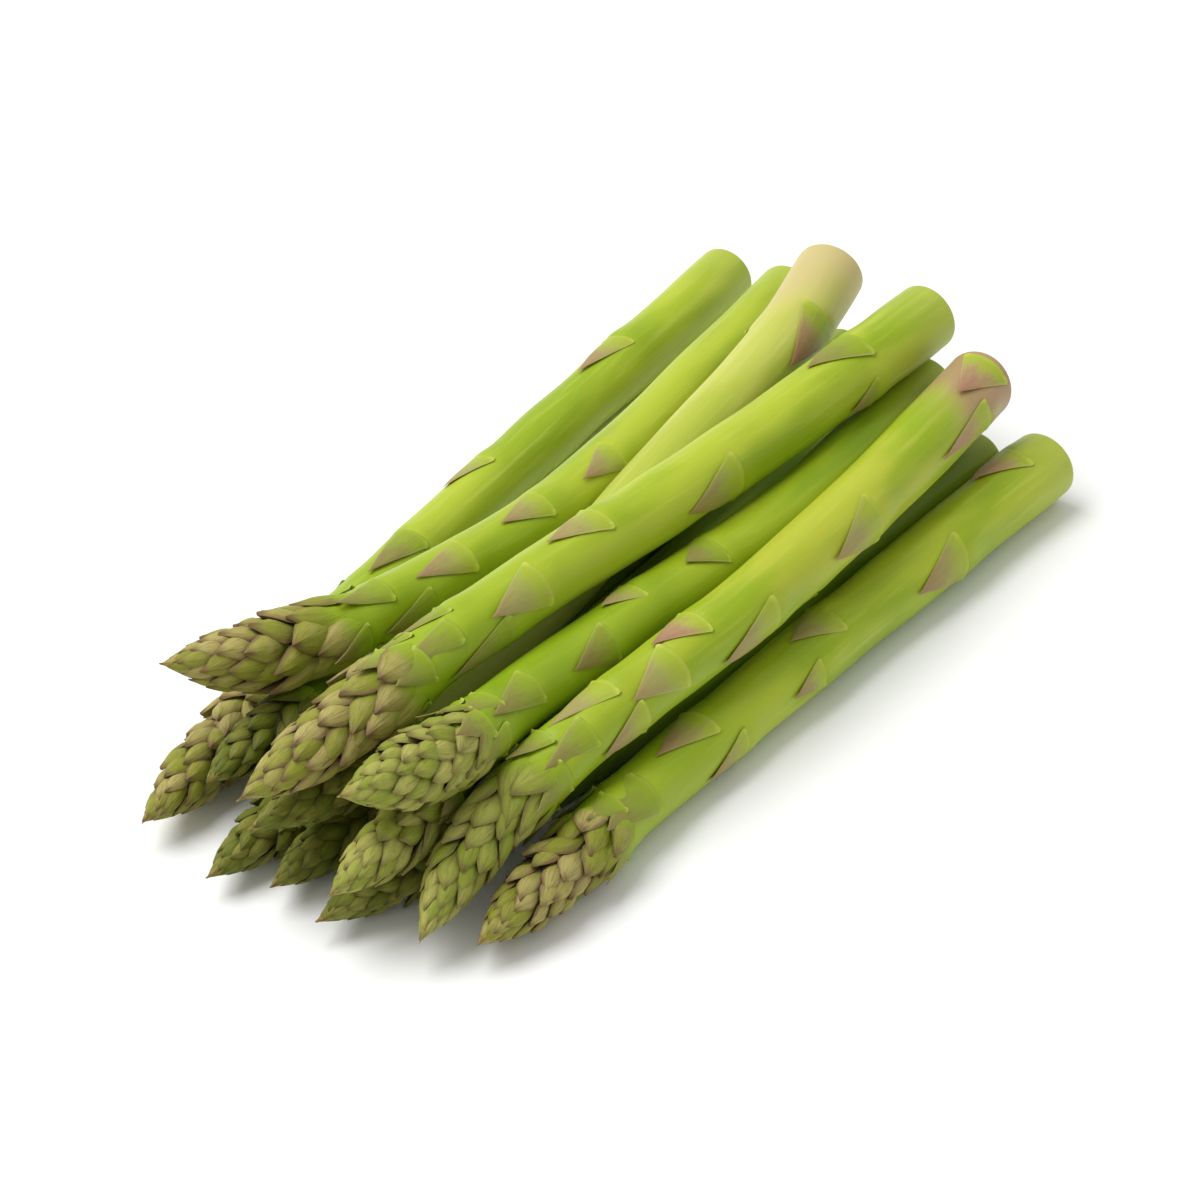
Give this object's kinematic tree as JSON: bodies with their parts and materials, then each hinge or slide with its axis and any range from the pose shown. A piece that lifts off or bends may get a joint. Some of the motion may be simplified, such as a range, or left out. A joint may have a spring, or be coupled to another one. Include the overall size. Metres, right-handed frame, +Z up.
{
  "type": "bundle of asparagus",
  "caption": "Loose pile of fresh green asparagus spears lying side by side and on each other, with pointed scaly heads, triangular scale leaves and plain cut butts.",
  "frame": {"origin": "centre of the underside of the pile's bounding box, on the surface that the pile lies on", "axes": "+Z up; +X along the spears, from the pointed heads towards the cut butts; +Y across the pile, away from the front spear"},
  "size_m": [0.212, 0.1056, 0.0389],
  "materials": {
    "stalk_green": "waxy skin, bright yellow-green",
    "stalk_deep": "waxy skin, deep green",
    "stalk_pale": "waxy skin, pale yellow-green towards the butt",
    "head_olive": "packed scales, olive with purple-brown edges",
    "head_green": "packed scales, lighter green with purple-brown edges",
    "head_shaded": "packed scales, dark green",
    "leaf_tan": "dry papery scale leaf, tan with a cream edge",
    "leaf_green": "scale leaf, greenish with a cream edge",
    "leaf_purple": "scale leaf, purple-pink"
  },
  "bodies": {
    "root": {"spear_01_stalk": "stalk_green", "spear_01_head": "head_olive", "spear_01_leaf_01": "leaf_purple", "spear_01_leaf_02": "leaf_tan", "spear_01_leaf_03": "leaf_tan", "spear_01_leaf_04": "leaf_tan", "spear_01_leaf_05": "leaf_tan", "spear_01_leaf_06": "leaf_green", "spear_02_stalk": "stalk_deep", "spear_02_head": "head_shaded", "spear_03_stalk": "stalk_deep", "spear_03_head": "head_shaded", "spear_04_stalk": "stalk_deep", "spear_04_head": "head_shaded", "spear_05_stalk": "stalk_green", "spear_05_head": "head_olive", "spear_05_leaf_01": "leaf_tan", "spear_05_leaf_02": "leaf_tan", "spear_05_leaf_03": "leaf_green", "spear_06_stalk": "stalk_deep", "spear_06_head": "head_shaded", "spear_07_stalk": "stalk_pale", "spear_07_head": "head_shaded", "spear_07_leaf_01": "leaf_purple", "spear_08_stalk": "stalk_deep", "spear_08_head": "head_green", "spear_09_stalk": "stalk_green", "spear_09_head": "head_green", "spear_09_leaf_01": "leaf_purple", "spear_09_leaf_02": "leaf_tan", "spear_09_leaf_03": "leaf_tan", "spear_09_leaf_04": "leaf_purple", "spear_09_leaf_05": "leaf_tan", "spear_09_leaf_06": "leaf_tan", "spear_09_leaf_07": "leaf_tan", "spear_09_leaf_08": "leaf_green", "spear_10_stalk": "stalk_green", "spear_10_head": "head_green", "spear_10_leaf_01": "leaf_green", "spear_10_leaf_02": "leaf_tan", "spear_10_leaf_03": "leaf_green", "spear_10_leaf_04": "leaf_green", "spear_10_leaf_05": "leaf_green", "spear_11_stalk": "stalk_green", "spear_11_head": "head_olive", "spear_11_leaf_01": "leaf_green", "spear_11_leaf_02": "leaf_tan", "spear_11_leaf_03": "leaf_tan", "spear_11_leaf_04": "leaf_tan", "spear_11_leaf_05": "leaf_tan", "spear_11_leaf_06": "leaf_green", "spear_11_leaf_07": "leaf_green", "spear_11_leaf_08": "leaf_green", "spear_12_stalk": "stalk_green", "spear_12_head": "head_olive", "spear_12_leaf_01": "leaf_tan", "spear_12_leaf_02": "leaf_tan", "spear_12_leaf_03": "leaf_tan", "spear_12_leaf_04": "leaf_green", "spear_12_leaf_05": "leaf_green"}
  },
  "joints": []
}
